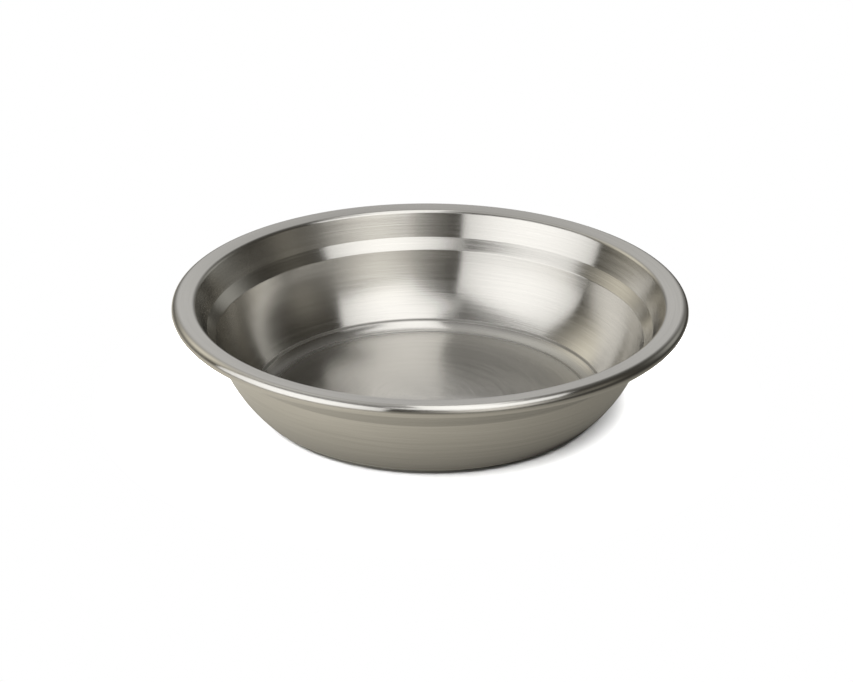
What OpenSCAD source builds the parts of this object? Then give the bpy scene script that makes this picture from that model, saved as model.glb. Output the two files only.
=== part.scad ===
// Round catering dish in stainless steel, with a stepped wall and a wired rim.
// It is drawn from one sheet, and the edge of its flange is curled round a wire hoop.
// Millimetres. The origin is on the standing surface under the middle of the floor, +Z is up.

/* [Dish] */
// Outside diameter over the rolled rim
rim_d = 305; // [240:1:400]
// Height from the standing surface to the top of the rim
dish_h = 66.4; // [50:0.1:100]
// Thickness of the sheet
sheet_t = 0.9; // [0.6:0.1:1.5]

/* [Rolled rim] */
// Diameter of the wire inside the rolled rim
wire_d = 6.3; // [4:0.1:8]
// Gap all round between the wire and the sheet that is curled over it
wire_fit = 0.05; // [0.02:0.01:0.1]
// How far the sheet wraps round the wire, in degrees
curl_wrap = 300; // [270:5:310]
// Width of the flange, from the mouth to where it runs into the rolled rim
flange_w = 9; // [7:0.1:15]
// How far the flange slopes down from the rolled rim to the mouth, in degrees
flange_slope = 5; // [0:0.5:8]
// Inside radius of the bend from the upper wall into the flange
mouth_bend_r = 2.2; // [0.6:0.1:4]

/* [Upper wall] */
// Depth of the upper wall, from the flange to the shoulder
upper_wall_h = 15.2; // [8:0.1:25]
// How far the upper wall leans in over its depth
upper_wall_run = 7; // [4:0.1:12]

/* [Shoulder] */
// Depth of the sloping shoulder
shoulder_h = 6.8; // [4:0.1:10]
// How far the shoulder steps in
shoulder_run = 5.2; // [3.5:0.1:9]
// Inside radius of the bends at the top and the bottom of the shoulder
shoulder_bend_r = 1.2; // [0.6:0.1:2]

/* [Lower wall] */
// How far the lower wall leans in, from the shoulder to the crease at its foot
lower_wall_run = 22.5; // [15:0.5:30]
// How far the lower wall bulges out from the straight line between its ends
lower_wall_bulge = 2.9; // [1.5:0.1:5]

/* [Base] */
// Width of the sloping band between the lower wall and the floor
band_run = 8.5; // [6:0.5:15]
// Height of the sloping band
band_h = 4.4; // [2:0.1:6]
// How far the band is hollowed below the straight line between its edges
band_hollow = 0.6; // [0.2:0.1:1]
// Inside radius of the creases at both edges of the sloping band
base_bend_r = 2; // [1:0.5:5]

/* [Hidden] */
$fn = 180;
// How far the straight steps of a drawn arc may lie from the true arc
arc_error = 0.01;

steel = [0.62, 0.61, 0.58];
wire_steel = [0.55, 0.55, 0.54];

// The rolled rim: bore of the curl, its outside radius, and the middle of the wire
curl_bore_r = wire_d / 2 + wire_fit;
curl_r = curl_bore_r + sheet_t;
wire_at = [rim_d / 2 - curl_r, dish_h - curl_r];

// Corners of the upper face of the sheet in half section
flange_way = [cos(flange_slope), sin(flange_slope)];
flange_edge = wire_at - curl_r * right_of(flange_way);
mouth = flange_edge - flange_w * flange_way;
shoulder_top = mouth - [upper_wall_run, upper_wall_h];
shoulder_foot = shoulder_top - [shoulder_run, shoulder_h];
wall_foot = [shoulder_foot[0] - lower_wall_run, sheet_t + band_h];
floor_edge = [wall_foot[0] - band_run, sheet_t];
floor_centre = [0, sheet_t];

// The band and the lower wall are each one arc, between the creases and the bend at their ends
hollow = arc_corner(floor_edge, wall_foot, band_hollow);
belly = arc_corner(wall_foot, shoulder_foot, lower_wall_bulge);
floor_reach = bend_reach([floor_centre, floor_edge, hollow], base_bend_r);
foot_reach = bend_reach([hollow, wall_foot, belly], base_bend_r);
shoulder_reach = bend_reach([belly, shoulder_foot, shoulder_top], shoulder_bend_r);
hollow_r = arc_r(floor_edge, wall_foot, band_hollow, max(floor_reach, foot_reach));
belly_r = arc_r(wall_foot, shoulder_foot, lower_wall_bulge, max(foot_reach, shoulder_reach));

// The sheet from the middle of the floor out to the rim: its corners, and the inside radius of the bend at each
corners = [floor_centre, floor_edge, hollow, wall_foot, belly, shoulder_foot, shoulder_top, mouth, flange_edge];
bend_radii = [0, base_bend_r, hollow_r, base_bend_r, belly_r, shoulder_bend_r, shoulder_bend_r, mouth_bend_r];

function unit(v) = v / norm(v);
function right_of(v) = unit([v[1], -v[0]]);

// A bend is worked out from three corners in a row: how far it turns, and whether it turns to the left
function turn(c) = acos(unit(c[1] - c[0]) * unit(c[2] - c[1]));
function turns_left(c) = right_of(c[1] - c[0]) * (c[2] - c[1]) < 0;

// A stretch that bulges to the right of its chord: how far it turns, the length of the tangents at its two ends,
// the corner where they meet, and its radius if it leaves some reach at each end to the bend there
function arc_turn(start, end, bulge) = 4 * atan(2 * bulge / norm(end - start));
function arc_tangent(start, end, bulge) = norm(end - start) / 2 / cos(arc_turn(start, end, bulge) / 2);
function arc_corner(start, end, bulge) =
    (start + end) / 2
        + right_of(end - start) * arc_tangent(start, end, bulge) * sin(arc_turn(start, end, bulge) / 2);
function arc_r(start, end, bulge, reach) =
    (arc_tangent(start, end, bulge) - reach) / tan(arc_turn(start, end, bulge) / 2);

// Radius of a bend, at a given depth below the upper face of the sheet
function bend_r(c, inside_r, depth) = inside_r + (turns_left(c) ? depth : sheet_t - depth);

// Distance from a corner to the point on the upper face where its bend starts
function bend_reach(c, inside_r) = bend_r(c, inside_r, 0) * tan(turn(c) / 2);

// Points along an arc, near enough together to keep within arc_error of it
function arc(centre, r, from, sweep) =
    let (steps = ceil(abs(sweep) / (2 * acos(1 - arc_error / r))))
    [for (k = [0 : steps]) centre + r * [cos(from + sweep * k / steps), sin(from + sweep * k / steps)]];

function bend(c, inside_r, depth) =
    let (along = unit(c[1] - c[0]))
    let (to_centre = turns_left(c) ? -right_of(along) : right_of(along))
    let (centre = c[1] - along * bend_reach(c, inside_r) + to_centre * bend_r(c, inside_r, 0))
    let (sweep = turns_left(c) ? turn(c) : -turn(c))
    arc(centre, bend_r(c, inside_r, depth), atan2(-to_centre[1], -to_centre[0]), sweep);

// One face of the sheet at a given depth, from the middle of the floor to the end of the curl round the wire
function sheet_face(depth) = [
    floor_centre - [0, depth],
    for (i = [1 : len(corners) - 2])
        each bend([corners[i - 1], corners[i], corners[i + 1]], bend_radii[i], depth),
    each arc(wire_at, curl_r - depth, 90 + flange_slope, -curl_wrap),
];

function reversed(points) = [for (i = [len(points) - 1 : -1 : 0]) points[i]];

// The whole dish, drawn from one sheet
module pressed_dish() {
    color(steel)
        rotate_extrude()
            polygon(concat(sheet_face(0), reversed(sheet_face(sheet_t))));
}

// The hoop of wire inside the rolled rim, its ends welded together
module rim_wire() {
    color(wire_steel)
        rotate_extrude()
            translate(wire_at) circle(wire_d / 2);
}

pressed_dish();
rim_wire();
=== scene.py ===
import math

import bmesh
import bpy
from mathutils import Matrix, Vector


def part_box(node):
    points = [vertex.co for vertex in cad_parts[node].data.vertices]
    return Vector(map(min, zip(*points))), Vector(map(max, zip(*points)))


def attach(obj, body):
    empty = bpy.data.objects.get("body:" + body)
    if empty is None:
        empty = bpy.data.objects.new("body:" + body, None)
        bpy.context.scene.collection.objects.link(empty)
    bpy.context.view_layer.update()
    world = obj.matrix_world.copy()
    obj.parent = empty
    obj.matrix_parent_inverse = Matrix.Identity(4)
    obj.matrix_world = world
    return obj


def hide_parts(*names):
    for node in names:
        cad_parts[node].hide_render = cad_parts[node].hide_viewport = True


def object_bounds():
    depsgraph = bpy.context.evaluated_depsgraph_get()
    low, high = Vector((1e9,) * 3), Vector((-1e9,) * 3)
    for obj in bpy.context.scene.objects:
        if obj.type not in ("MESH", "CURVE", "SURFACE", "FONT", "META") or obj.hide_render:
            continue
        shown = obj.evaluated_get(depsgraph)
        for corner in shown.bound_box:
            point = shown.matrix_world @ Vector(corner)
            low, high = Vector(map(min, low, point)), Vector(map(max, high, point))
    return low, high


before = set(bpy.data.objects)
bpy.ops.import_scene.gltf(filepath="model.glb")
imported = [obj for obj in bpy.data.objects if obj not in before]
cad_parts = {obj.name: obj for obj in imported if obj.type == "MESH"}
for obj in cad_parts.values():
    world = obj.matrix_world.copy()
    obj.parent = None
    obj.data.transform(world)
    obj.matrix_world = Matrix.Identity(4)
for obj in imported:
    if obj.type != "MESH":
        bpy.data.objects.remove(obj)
cad_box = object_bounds()
scene = bpy.context.scene

# The view: a long lens some way off, above the rim and looking down into the dish.
# At these angles the rim, the steps of the wall and the foot of the dish line up with the photograph.
rim_r = cad_box[1].x
rim_top = cad_box[1].z
image_width_px = 853
focal_px = 2942
camera_distance = 11.4 * rim_r
camera_elevation = math.radians(23.44)
look_below_rim = math.radians(0.865)
look_left = math.radians(0.072)
camera_roll = math.radians(0.36)

lens = bpy.data.cameras.new("camera")
lens.sensor_width = 36
lens.lens = lens.sensor_width * focal_px / image_width_px
camera = bpy.data.objects.new("camera", lens)
scene.collection.objects.link(camera)
scene.camera = camera
pan = Matrix.Rotation(look_left, 4, "Z")
tilt = Matrix.Rotation(math.pi / 2 - camera_elevation - look_below_rim, 4, "X")
roll = Matrix.Rotation(camera_roll, 4, "Z")
from_rim = Vector((0, -math.cos(camera_elevation), math.sin(camera_elevation))) * camera_distance
camera.matrix_world = Matrix.Translation(from_rim + Vector((0, 0, rim_top))) @ pan @ tilt @ roll
scene.view_settings.view_transform = "Standard"

# The pressed dish: one round blank of stainless sheet, drawn in a press into a flat floor, a hollow band, a
# bulging wall with a shoulder, and a flange. The edge of the flange is curled round the rim wire.
# It is brushed on a lathe, so fine lines run round it everywhere.
mm = 0.001
sheet_t = 0.9 * mm
flange_w = 9 * mm
flange_slope = math.radians(5)
mouth_bend_r = 2.2 * mm
upper_wall_h = 15.2 * mm
upper_wall_run = 7 * mm
shoulder_h = 6.8 * mm
shoulder_run = 5.2 * mm
shoulder_bend_r = 1.2 * mm
lower_wall_run = 22.5 * mm
lower_wall_bulge = 2.9 * mm
band_h = 4.4 * mm
band_run = 8.5 * mm
band_hollow = 0.6 * mm
crease_r = 2 * mm

# The rolled rim: the middle of the wire, and how the sheet is curled round it
wire_low, wire_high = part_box("rim_wire")
wire_r = (wire_high.z - wire_low.z) / 2
wire_at = Vector((wire_high.x - wire_r, 0, wire_low.z + wire_r))
curl_r = rim_top - wire_at.z
curl_wrap = math.radians(300)

# Corners of the sheet's upper face in half section
flange_way = Vector((math.cos(flange_slope), 0, math.sin(flange_slope)))
flange_edge = wire_at + Vector((-flange_way.z, 0, flange_way.x)) * curl_r
mouth = flange_edge - flange_way * flange_w
shoulder_top = mouth - Vector((upper_wall_run, 0, upper_wall_h))
shoulder_foot = shoulder_top - Vector((shoulder_run, 0, shoulder_h))
wall_foot = Vector((shoulder_foot.x - lower_wall_run, 0, sheet_t + band_h))
floor_edge = Vector((wall_foot.x - band_run, 0, sheet_t))
floor_centre = Vector((0, 0, sheet_t))


class Bend:
    """A bend at a corner of the half section: where it starts on the upper face, its centre and its turn."""

    def __init__(self, before, corner, after, inside_r):
        along = (corner - before).normalized()
        onward = (after - corner).normalized()
        self.turn = math.atan2(along.x * onward.z - along.z * onward.x, along.dot(onward))
        face_r = inside_r if self.turn > 0 else inside_r + sheet_t
        self.reach = face_r * math.tan(abs(self.turn) / 2)
        self.start = corner - along * self.reach
        left = Vector((-along.z, 0, along.x))
        self.centre = self.start + left * math.copysign(face_r, self.turn)


class Arc:
    """A stretch of the half section that bulges from its chord, and the corner where its tangents meet."""

    def __init__(self, start, end, bulge):
        chord = end - start
        outward = Vector((chord.z, 0, -chord.x)).normalized()
        self.turn = 4 * math.atan(2 * bulge / chord.length)
        self.tangent = chord.length / 2 / math.cos(self.turn / 2)
        self.corner = (start + end) / 2 + outward * self.tangent * math.sin(self.turn / 2)

    def radius(self, *neighbours):
        """Radius of the arc once the bends at its two ends have taken their reach."""
        reach = max(bend.reach for bend in neighbours)
        return (self.tangent - reach) / math.tan(self.turn / 2)


band = Arc(floor_edge, wall_foot, band_hollow)
wall = Arc(wall_foot, shoulder_foot, lower_wall_bulge)
floor_crease = Bend(floor_centre, floor_edge, band.corner, crease_r)
wall_crease = Bend(band.corner, wall_foot, wall.corner, crease_r)
step_bend = Bend(wall.corner, shoulder_foot, shoulder_top, shoulder_bend_r)
bends = [
    floor_crease,
    Bend(floor_edge, band.corner, wall_foot, band.radius(floor_crease, wall_crease)),
    wall_crease,
    Bend(wall_foot, wall.corner, shoulder_foot, wall.radius(wall_crease, step_bend)),
    step_bend,
    Bend(shoulder_foot, shoulder_top, mouth, shoulder_bend_r),
    Bend(shoulder_top, mouth, flange_edge, mouth_bend_r),
]

bm = bmesh.new()


def run_straight(tip, end):
    """Extrudes the end of the section in short steps to a point, and gives the new end."""
    longest_step = 4 * mm
    way = end - tip.co
    steps = math.ceil(way.length / longest_step)
    for _ in range(steps):
        made = bmesh.ops.extrude_vert_indiv(bm, verts=[tip])["verts"]
        bmesh.ops.translate(bm, verts=made, vec=way / steps)
        tip = made[0]
    return tip


def run_round(tip, centre, turn):
    """Spins the end of the section round a centre, and gives the new end."""
    fewest_steps = 4
    largest_step = math.radians(4)
    steps = max(fewest_steps, math.ceil(abs(turn) / largest_step))
    made = bmesh.ops.spin(bm, geom=[tip], cent=centre, axis=(0, -1, 0), angle=turn, steps=steps)
    return made["geom_last"][0]


tip = bm.verts.new(floor_centre)
for bend in bends:
    tip = run_straight(tip, bend.start)
    tip = run_round(tip, bend.centre, bend.turn)
tip = run_straight(tip, flange_edge)
run_round(tip, wire_at, -curl_wrap)

steps_round = 288
merge_distance = 0.01 * mm
bmesh.ops.spin(
    bm,
    geom=bm.verts[:] + bm.edges[:],
    cent=(0, 0, 0),
    axis=(0, 0, 1),
    angle=2 * math.pi,
    steps=steps_round,
    use_merge=True,
)
bmesh.ops.remove_doubles(bm, verts=bm.verts[:], dist=merge_distance)
bmesh.ops.recalc_face_normals(bm, faces=bm.faces[:])
bm.normal_update()
middle = min(bm.faces, key=lambda face: face.calc_center_median().xy.length)
if middle.normal.z < 0:
    bmesh.ops.reverse_faces(bm, faces=bm.faces[:])
bmesh.ops.solidify(bm, geom=bm.faces[:], thickness=sheet_t)

cut_edge_angle = math.radians(50)
for face in bm.faces:
    face.smooth = True
for edge in bm.edges:
    edge.smooth = edge.calc_face_angle(0) < cut_edge_angle
dish_mesh = bpy.data.meshes.new("brushed_dish")
bm.to_mesh(dish_mesh)
bm.free()
dish = bpy.data.objects.new("brushed_dish", dish_mesh)
scene.collection.objects.link(dish)


class Finish:
    """One output among the nodes of a material, a light or the room. Sums on it add Math nodes."""

    def __init__(self, socket):
        self.socket = socket

    def node(self, kind, settings, inputs, output=0):
        """Adds a node: first its settings, then the values or links of its sockets."""
        tree = self.socket.id_data
        made = tree.nodes.new(kind)
        for name, value in settings.items():
            setattr(made, name, value)
        for name, value in inputs.items():
            if isinstance(value, Finish):
                tree.links.new(value.socket, made.inputs[name])
            else:
                made.inputs[name].default_value = value
        return Finish(made.outputs[output])

    def math(self, operation, first, second):
        return self.node("ShaderNodeMath", {"operation": operation}, {0: first, 1: second})

    def __add__(self, other):
        return self.math("ADD", self, other)

    def __sub__(self, other):
        return self.math("SUBTRACT", self, other)

    def __rsub__(self, other):
        return self.math("SUBTRACT", other, self)

    def __mul__(self, other):
        return self.math("MULTIPLY", self, other)

    __radd__ = __add__
    __rmul__ = __mul__

    def vector(self, operation, inputs, output="Vector"):
        """Adds a Vector Math node. Its output is a vector, or for some operations a number, its Value."""
        return self.node("ShaderNodeVectorMath", {"operation": operation}, inputs, output)

    def along(self, way):
        """How far a vector reaches along a way."""
        return self.vector("DOT_PRODUCT", {0: self, 1: way}, "Value")

    def graded(self, start, end, first, last, interpolation="LINEAR"):
        """A value that goes from first to last while this one goes from start to end."""
        settings = {"interpolation_type": interpolation}
        inputs = {"Value": self, "From Min": start, "From Max": end, "To Min": first, "To Max": last}
        return self.node("ShaderNodeMapRange", settings, inputs)

    def feed(self, shader, name):
        self.socket.id_data.links.new(self.socket, shader.inputs[name])


def steel(name):
    """A new metal material: it, its shader, and the place on the piece that its finish starts from."""
    material = bpy.data.materials.new(name)
    material.use_nodes = True
    nodes = material.node_tree.nodes
    shader = nodes["Principled BSDF"]
    shader.inputs["Metallic"].default_value = 1.0
    return material, shader, Finish(nodes.new("ShaderNodeTexCoord").outputs["Object"])


def out_from_axis(place):
    """The level way from the axis of the dish out to a place."""
    return place.vector("MULTIPLY", {0: place, 1: (1, 1, 0)})


def half_section(place):
    """A place turned into the half section: its radius as X and its height as Y."""
    out = out_from_axis(place)
    radius = out.vector("LENGTH", {0: out}, "Value")
    height = place.along((0, 0, 1))
    return radius.node("ShaderNodeCombineXYZ", {}, {"X": radius, "Y": height})


def lathe_lines(place, width, wander):
    """Noise drawn out round the axis: lines of about this width, which are shorter with more wander."""
    section = half_section(place)
    across = section.vector("SCALE", {0: section, "Scale": 1 / width})
    out = out_from_axis(place)
    way_round = out.vector("NORMALIZE", {0: out})
    drift = way_round.vector("SCALE", {0: way_round, "Scale": wander})
    spot = across.vector("ADD", {0: across, 1: drift})
    return spot.node("ShaderNodeTexNoise", {}, {"Vector": spot, "Scale": 1.0, "Detail": 2.0})


def line_in_crease(place, corner, width):
    """A line round the dish: 1 in the crease at a corner of its half section, 0 from half the width away."""
    section = half_section(place)
    away = section.vector("DISTANCE", {0: section, 1: (corner.x, corner.z, 0)}, "Value")
    return away.graded(start=0, end=width / 2, first=1, last=0, interpolation="SMOOTHSTEP")


def mix_colours(share, first, second):
    """A colour between two, by a share from 0 to 1."""
    return share.node("ShaderNodeMix", {"data_type": "RGBA"}, {0: share, 6: first, 7: second}, 2)


def carve(shader, relief, depth):
    """Gives a shader's surface a fine relief, from 0 to 1 times this depth."""
    bump = relief.node("ShaderNodeBump", {}, {"Strength": 1.0, "Distance": depth, "Height": relief})
    bump.feed(shader, "Normal")


# The brushing: fine scratches and wider streaks; painted shade and rougher steel in the creases of the band
noise_middle = 0.5
steel_dull = (0.57, 0.557, 0.528, 1)
steel_bright = (0.67, 0.656, 0.624, 1)
painted_crease_shade = (0.43, 0.42, 0.4, 1)
scratch_contrast = 1.2
streak_contrast = 0.8
crease_line_w = 3 * mm
crease_shade_share = 0.9
brushed_roughness = 0.18
brushed_unevenness = 0.08
crease_roughness = 0.4
scratch_relief = 0.42
streak_relief = 0.35
brush_depth = 0.06 * mm

brushed, shader, place = steel("brushed_steel")
shader.inputs["Anisotropic"].default_value = 0.93
shader.inputs["Anisotropic Rotation"].default_value = 0.25
scratches = lathe_lines(place, width=0.7 * mm, wander=3.0)
streaks = lathe_lines(place, width=2.5 * mm, wander=1.5)
creases = line_in_crease(place, floor_edge, crease_line_w) + line_in_crease(place, wall_foot, crease_line_w)
scratch_swing = scratches - noise_middle
streak_swing = streaks - noise_middle
shine = noise_middle + scratch_swing * scratch_contrast + streak_swing * streak_contrast
brushing = mix_colours(shine, steel_dull, steel_bright)
# Painted shade: the base colour darkens in the two creases at the edges of the band, where shade falls.
mix_colours(creases * crease_shade_share, brushing, painted_crease_shade).feed(shader, "Base Color")
unevenness = scratch_swing * brushed_unevenness + streak_swing * brushed_unevenness
roughness = brushed_roughness + unevenness + creases * crease_roughness
roughness.feed(shader, "Roughness")
carve(shader, scratches * scratch_relief + streaks * streak_relief, brush_depth)
dish_mesh.materials.append(brushed)

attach(dish, "root")
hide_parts("pressed_dish")

# The rim wire: a hoop of round steel wire, drawn through a die and welded end to end.
# The curled edge of the sheet closes round it, and only a thin line of it shows, from below.
wire_dull = (0.50, 0.495, 0.48, 1)
wire_bright = (0.60, 0.595, 0.58, 1)
drawn_roughness = 0.3
drawn_unevenness = 0.1
die_depth = 0.005 * mm

drawn, shader, place = steel("drawn_wire")
shader.inputs["Anisotropic"].default_value = 0.6
shader.inputs["Anisotropic Rotation"].default_value = 0.25
die_lines = lathe_lines(place, width=0.3 * mm, wander=2.0)
mix_colours(die_lines, wire_dull, wire_bright).feed(shader, "Base Color")
roughness = drawn_roughness + (die_lines - noise_middle) * drawn_unevenness
roughness.feed(shader, "Roughness")
carve(shader, die_lines, die_depth)
wire_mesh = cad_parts["rim_wire"].data
wire_mesh.materials.clear()
wire_mesh.materials.append(drawn)


# The floor: a plain white table top, matt close to the dish, which shades it there, and glowing further off.
# The steel mirrors a glowing warm grey sheet in its place, so that the outside of the dish stays darker than
# the white that it stands on. Its glow holds a painted shadow, dimmer round the foot and to the right, and
# dims far off.
def table_top(name, level):
    """A level matt sheet under the dish, wide enough to fill any view: it, its shader and its places."""
    half_width = 6.0
    bm = bmesh.new()
    place = Matrix.Translation((0, 0, level))
    bmesh.ops.create_grid(bm, x_segments=1, y_segments=1, size=half_width, matrix=place)
    mesh = bpy.data.meshes.new(name)
    bm.to_mesh(mesh)
    bm.free()
    top = bpy.data.objects.new(name, mesh)
    scene.collection.objects.link(top)
    matt = bpy.data.materials.new(name)
    matt.use_nodes = True
    nodes = matt.node_tree.nodes
    shader = nodes["Principled BSDF"]
    shader.inputs["Roughness"].default_value = 1.0
    shader.inputs["Specular IOR Level"].default_value = 0.0
    shader.inputs["Emission Strength"].default_value = 1.0
    mesh.materials.append(matt)
    return top, shader, Finish(nodes.new("ShaderNodeTexCoord").outputs["Object"])


lit_grey = (0.5, 0.5, 0.5, 1)
plain_white = (1, 1, 1, 1)
black = (0, 0, 0, 1)
white_floor, shader, place = table_top("white_floor", level=0)
away = place.vector("LENGTH", {0: place}, "Value").graded(start=0.15, end=0.2, first=0, last=1)
mix_colours(away, lit_grey, black).feed(shader, "Base Color")
mix_colours(away, black, plain_white).feed(shader, "Emission Color")
white_floor.visible_glossy = False
white_floor.visible_shadow = False

table_glow = (0.70, 0.665, 0.575, 1)
shade_middle = (0.008, 0, 0)
shade_curve = 0.4
mirrored_floor, shader, place = table_top("mirrored_floor", level=-0.2 * mm)
shader.inputs["Base Color"].default_value = black
# Painted shadow: the sheet's glow dims round the foot and to the right, as though the dish shaded a lit
# table.
from_foot = place.vector("DISTANCE", {0: place, 1: shade_middle}, "Value")
foot_shade = from_foot.graded(start=0.098, end=0.16, first=0, last=1)
foot_shade = foot_shade.math("POWER", foot_shade, shade_curve)
side_shade = place.along((1, 0, 0)).graded(start=-0.1, end=0.3, first=1.0, last=0.15)
far_shade = from_foot.graded(start=0.25, end=0.55, first=1.0, last=0.35)
mix_colours(foot_shade * side_shade * far_shade, black, table_glow).feed(shader, "Emission Color")
mirrored_floor.visible_camera = False
mirrored_floor.visible_diffuse = False


# The light: a wide softbox on the left, another overhead on the right, and a strip overhead near the middle.
# The walls, the ceiling, a small window and the room in front glow softly. A broad light from above whitens
# the floor near the dish and isn't mirrored in the steel.
def way_to(azimuth, elevation):
    """Way from the dish to a place in the room. Azimuth 0 is at the camera and grows to its left."""
    turn = math.radians(azimuth)
    rise = math.radians(elevation)
    return Vector((-math.sin(turn) * math.cos(rise), -math.cos(turn) * math.cos(rise), math.sin(rise)))


def softbox(name, middle, facing, turn, width, height, radiance, edge_loss):
    """A flat light, turned in its own plane, that loses a share of its radiance at the ends of its width."""
    light = bpy.data.lights.new(name, "AREA")
    light.shape = "RECTANGLE"
    light.size = width
    light.size_y = height
    light.energy = radiance * math.pi * width * height
    light.use_nodes = True
    nodes = light.node_tree.nodes
    spot = Finish(nodes.new("ShaderNodeNewGeometry").outputs["Parametric"])
    off_middle = (spot.along((1, 0, 0)) - 0.5) * 2
    (1 - off_middle * off_middle * edge_loss).feed(nodes["Emission"], "Strength")
    lamp = bpy.data.objects.new(name, light)
    scene.collection.objects.link(lamp)
    lamp.location = middle
    flat_turn = Matrix.Rotation(math.radians(turn), 3, "Z")
    lamp.rotation_euler = ((-facing).to_track_quat("Z", "Y").to_matrix() @ flat_turn).to_euler()
    lamp.visible_camera = False


up = Vector((0, 0, 1))
to_left = way_to(azimuth=57, elevation=0)
left_distance = 1.1
left_height = 0.71
softbox(
    "left_softbox",
    middle=to_left * left_distance + up * left_height,
    facing=-to_left,
    turn=0,
    width=1.8,
    height=1.42,
    radiance=1.55,
    edge_loss=0.42,
)
softbox(
    "overhead_softbox",
    middle=Vector((0.51, -0.74, 1.2)),
    facing=-up,
    turn=40,
    width=1.36,
    height=1.2,
    radiance=1.48,
    edge_loss=0.4,
)
softbox(
    "ceiling_strip",
    middle=Vector((0.125, 0.1, 1.2)),
    facing=-up,
    turn=0,
    width=0.39,
    height=1.0,
    radiance=1.24,
    edge_loss=0.3,
)

table_light = bpy.data.lights.new("table_light", "SUN")
table_light.energy = 60
table_light.angle = math.radians(94)
table_lamp = bpy.data.objects.new("table_light", table_light)
scene.collection.objects.link(table_lamp)
table_lamp.rotation_euler = way_to(azimuth=60, elevation=84).to_track_quat("Z", "Y").to_euler()
table_lamp.visible_glossy = False


def glow(around, light, azimuth, elevation, tightness, colour):
    """Adds to the room's light a soft glow from one side, which fades all round the way it comes from."""
    facing = around.along(way_to(azimuth, elevation))
    fade = facing.math("POWER", facing.math("MAXIMUM", facing, 0), tightness)
    glowing = fade.vector("SCALE", {0: colour, "Scale": fade})
    return glowing.vector("ADD", {0: glowing, 1: light})


dim_light = (0.053, 0.049, 0.041)
pale_wall = (0.64, 0.64, 0.64)
left_wall = (0.92, 0.87, 0.74)
right_wall = (0.36, 0.36, 0.34)
small_window = (0.18, 0.17, 0.145)
ceiling = (0.4, 0.4, 0.4)
ceiling_corner = (0.42, 0.42, 0.4)
room_in_front = (1.02, 0.995, 0.93)
world = bpy.data.worlds.new("dim_room")
scene.world = world
world.use_nodes = True
nodes = world.node_tree.nodes
around = Finish(nodes.new("ShaderNodeTexCoord").outputs["Generated"])
light = glow(around, dim_light, azimuth=178, elevation=22, tightness=14, colour=pale_wall)
light = glow(around, light, azimuth=126, elevation=27, tightness=18, colour=left_wall)
light = glow(around, light, azimuth=228, elevation=15, tightness=30, colour=right_wall)
light = glow(around, light, azimuth=-80, elevation=23, tightness=50, colour=small_window)
light = glow(around, light, azimuth=130, elevation=76, tightness=8, colour=ceiling)
light = glow(around, light, azimuth=152, elevation=54, tightness=24, colour=ceiling_corner)
light = glow(around, light, azimuth=-29, elevation=16, tightness=12, colour=room_in_front)
light.feed(nodes["Background"], "Color")
